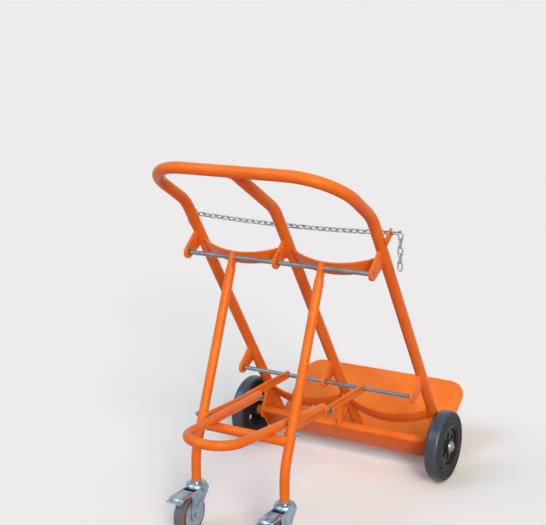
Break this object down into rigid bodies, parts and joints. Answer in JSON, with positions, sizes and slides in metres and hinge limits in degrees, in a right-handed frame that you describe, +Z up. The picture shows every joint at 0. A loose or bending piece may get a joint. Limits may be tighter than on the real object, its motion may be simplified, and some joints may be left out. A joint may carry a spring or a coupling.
{
  "type": "gas cylinder trolley",
  "caption": "Tubular steel trolley for carrying gas cylinders upright or leaning, with cradle bands, restraint chain, foot plate, large wheels and a folding castor stand.",
  "frame": {"origin": "on the floor, below the middle of the outline seen from above", "axes": "+Z up, +Y forward to the foot plate, +X to the right of someone who stands at the handle"},
  "size_m": [0.6888, 1.0584, 0.9501],
  "materials": {
    "orange_coat": "orange powder coat, satin gloss",
    "bright_steel": "bare drawn steel",
    "chain_steel": "galvanised chain",
    "zinc_plate": "blue zinc plate",
    "tyre_rubber": "black rubber",
    "wheel_rim": "dark grey moulded plastic",
    "wheel_bush": "light grey nylon",
    "castor_core": "red-brown moulded plastic",
    "castor_tread": "grey rubber"
  },
  "bodies": {
    "frame": {"main_tube": "orange_coat", "centre_upright": "orange_coat", "upper_band_left": "orange_coat", "upper_band_right": "orange_coat", "lower_band_left": "orange_coat", "lower_band_right": "orange_coat", "upper_lugs": "orange_coat", "lower_lugs": "orange_coat", "axle_beam": "orange_coat", "foot_plate": "orange_coat", "centre_gusset": "orange_coat", "axle_brackets": "orange_coat", "axle": "bright_steel", "axle_sleeves": "orange_coat", "axle_washers": "bright_steel", "hub_caps": "zinc_plate", "chain_tabs": "orange_coat", "restraint_chain": "chain_steel"},
    "wheel_left": {"tyre_left": "tyre_rubber", "rim_left": "wheel_rim", "bush_left": "wheel_bush"},
    "wheel_right": {"tyre_right": "tyre_rubber", "rim_right": "wheel_rim", "bush_right": "wheel_bush"},
    "stand": {"leg_left": "orange_coat", "leg_right": "orange_coat", "cross_tube": "orange_coat", "upper_rod": "bright_steel", "upper_rod_clips": "bright_steel", "stay_bolts": "zinc_plate", "castor_stems": "zinc_plate"},
    "upper_stays": {"lower_rod": "bright_steel", "lower_rod_clips": "bright_steel", "upper_stay_left": "orange_coat", "upper_stay_right": "orange_coat", "knee_bolts": "zinc_plate"},
    "lower_stays": {"lower_stay_left": "orange_coat", "lower_stay_right": "orange_coat", "knee_pins": "zinc_plate"},
    "pedal": {"pedal_loop": "orange_coat"},
    "castor_left": {"castor_fork_left": "zinc_plate", "castor_axle_left": "zinc_plate", "castor_guard_left": "zinc_plate"},
    "castor_right": {"castor_fork_right": "zinc_plate", "castor_axle_right": "zinc_plate", "castor_guard_right": "zinc_plate"},
    "castor_wheel_left": {"castor_core_left": "castor_core", "castor_tread_left": "castor_tread"},
    "castor_wheel_right": {"castor_core_right": "castor_core", "castor_tread_right": "castor_tread"},
    "brake_left": {"brake_pedal_left": "zinc_plate"},
    "brake_right": {"brake_pedal_right": "zinc_plate"},
    "tail": {"chain_tail": "chain_steel"}
  },
  "joints": [
    {"name": "left_wheel_spin", "type": "hinge", "parent": "frame", "child": "wheel_left", "pos_m": [-0.313, 0.22929, 0.1], "axis": [1, 0, 0], "continuous": true},
    {"name": "right_wheel_spin", "type": "hinge", "parent": "frame", "child": "wheel_right", "pos_m": [0.313, 0.22929, 0.1], "axis": [1, 0, 0], "continuous": true},
    {"name": "stand_fold", "type": "hinge", "parent": "frame", "child": "stand", "pos_m": [0, -0.16115, 0.67501], "axis": [1, 0, 0], "range_deg": [0, 29]},
    {"name": "upper_stay_swing", "type": "hinge", "parent": "frame", "child": "upper_stays", "pos_m": [0, 0.10448, 0.2752], "axis": [1, 0, 0], "range_deg": [-54.98, 0]},
    {"name": "lower_stay_swing", "type": "hinge", "parent": "stand", "child": "lower_stays", "pos_m": [0, -0.31784, 0.29289], "axis": [1, 0, 0], "range_deg": [0, 36.24]},
    {"name": "pedal_swing", "type": "hinge", "parent": "lower_stays", "child": "pedal", "pos_m": [0, -0.10684, 0.28005], "axis": [1, 0, 0], "range_deg": [-2.19, 0]},
    {"name": "left_castor_swivel", "type": "hinge", "parent": "stand", "child": "castor_left", "pos_m": [-0.13, -0.35471, 0.115], "axis": [0, 0, 1], "continuous": true},
    {"name": "left_castor_spin", "type": "hinge", "parent": "castor_left", "child": "castor_wheel_left", "pos_m": [-0.13, -0.39071, 0.05], "axis": [1, 0, 0], "continuous": true},
    {"name": "left_brake_press", "type": "hinge", "parent": "castor_left", "child": "brake_left", "pos_m": [-0.13, -0.39471, 0.107], "axis": [1, 0, 0], "range_deg": [0, 9]},
    {"name": "right_castor_swivel", "type": "hinge", "parent": "stand", "child": "castor_right", "pos_m": [0.13, -0.35471, 0.115], "axis": [0, 0, 1], "continuous": true},
    {"name": "right_castor_spin", "type": "hinge", "parent": "castor_right", "child": "castor_wheel_right", "pos_m": [0.13, -0.39071, 0.05], "axis": [1, 0, 0], "continuous": true},
    {"name": "right_brake_press", "type": "hinge", "parent": "castor_right", "child": "brake_right", "pos_m": [0.13, -0.39471, 0.107], "axis": [1, 0, 0], "range_deg": [0, 9]},
    {"name": "tail_swing", "type": "hinge", "parent": "frame", "child": "tail", "pos_m": [0.3157, -0.10026, 0.76949], "axis": [0, 0.9781, 0.2079], "range_deg": [-30, 6]}
  ],
  "couplings": [
    {"joint": "upper_stay_swing", "follows": "stand_fold", "ratio": -1.8954},
    {"joint": "lower_stay_swing", "follows": "stand_fold", "ratio": 1.2491},
    {"joint": "pedal_swing", "follows": "stand_fold", "ratio": -0.07526}
  ]
}
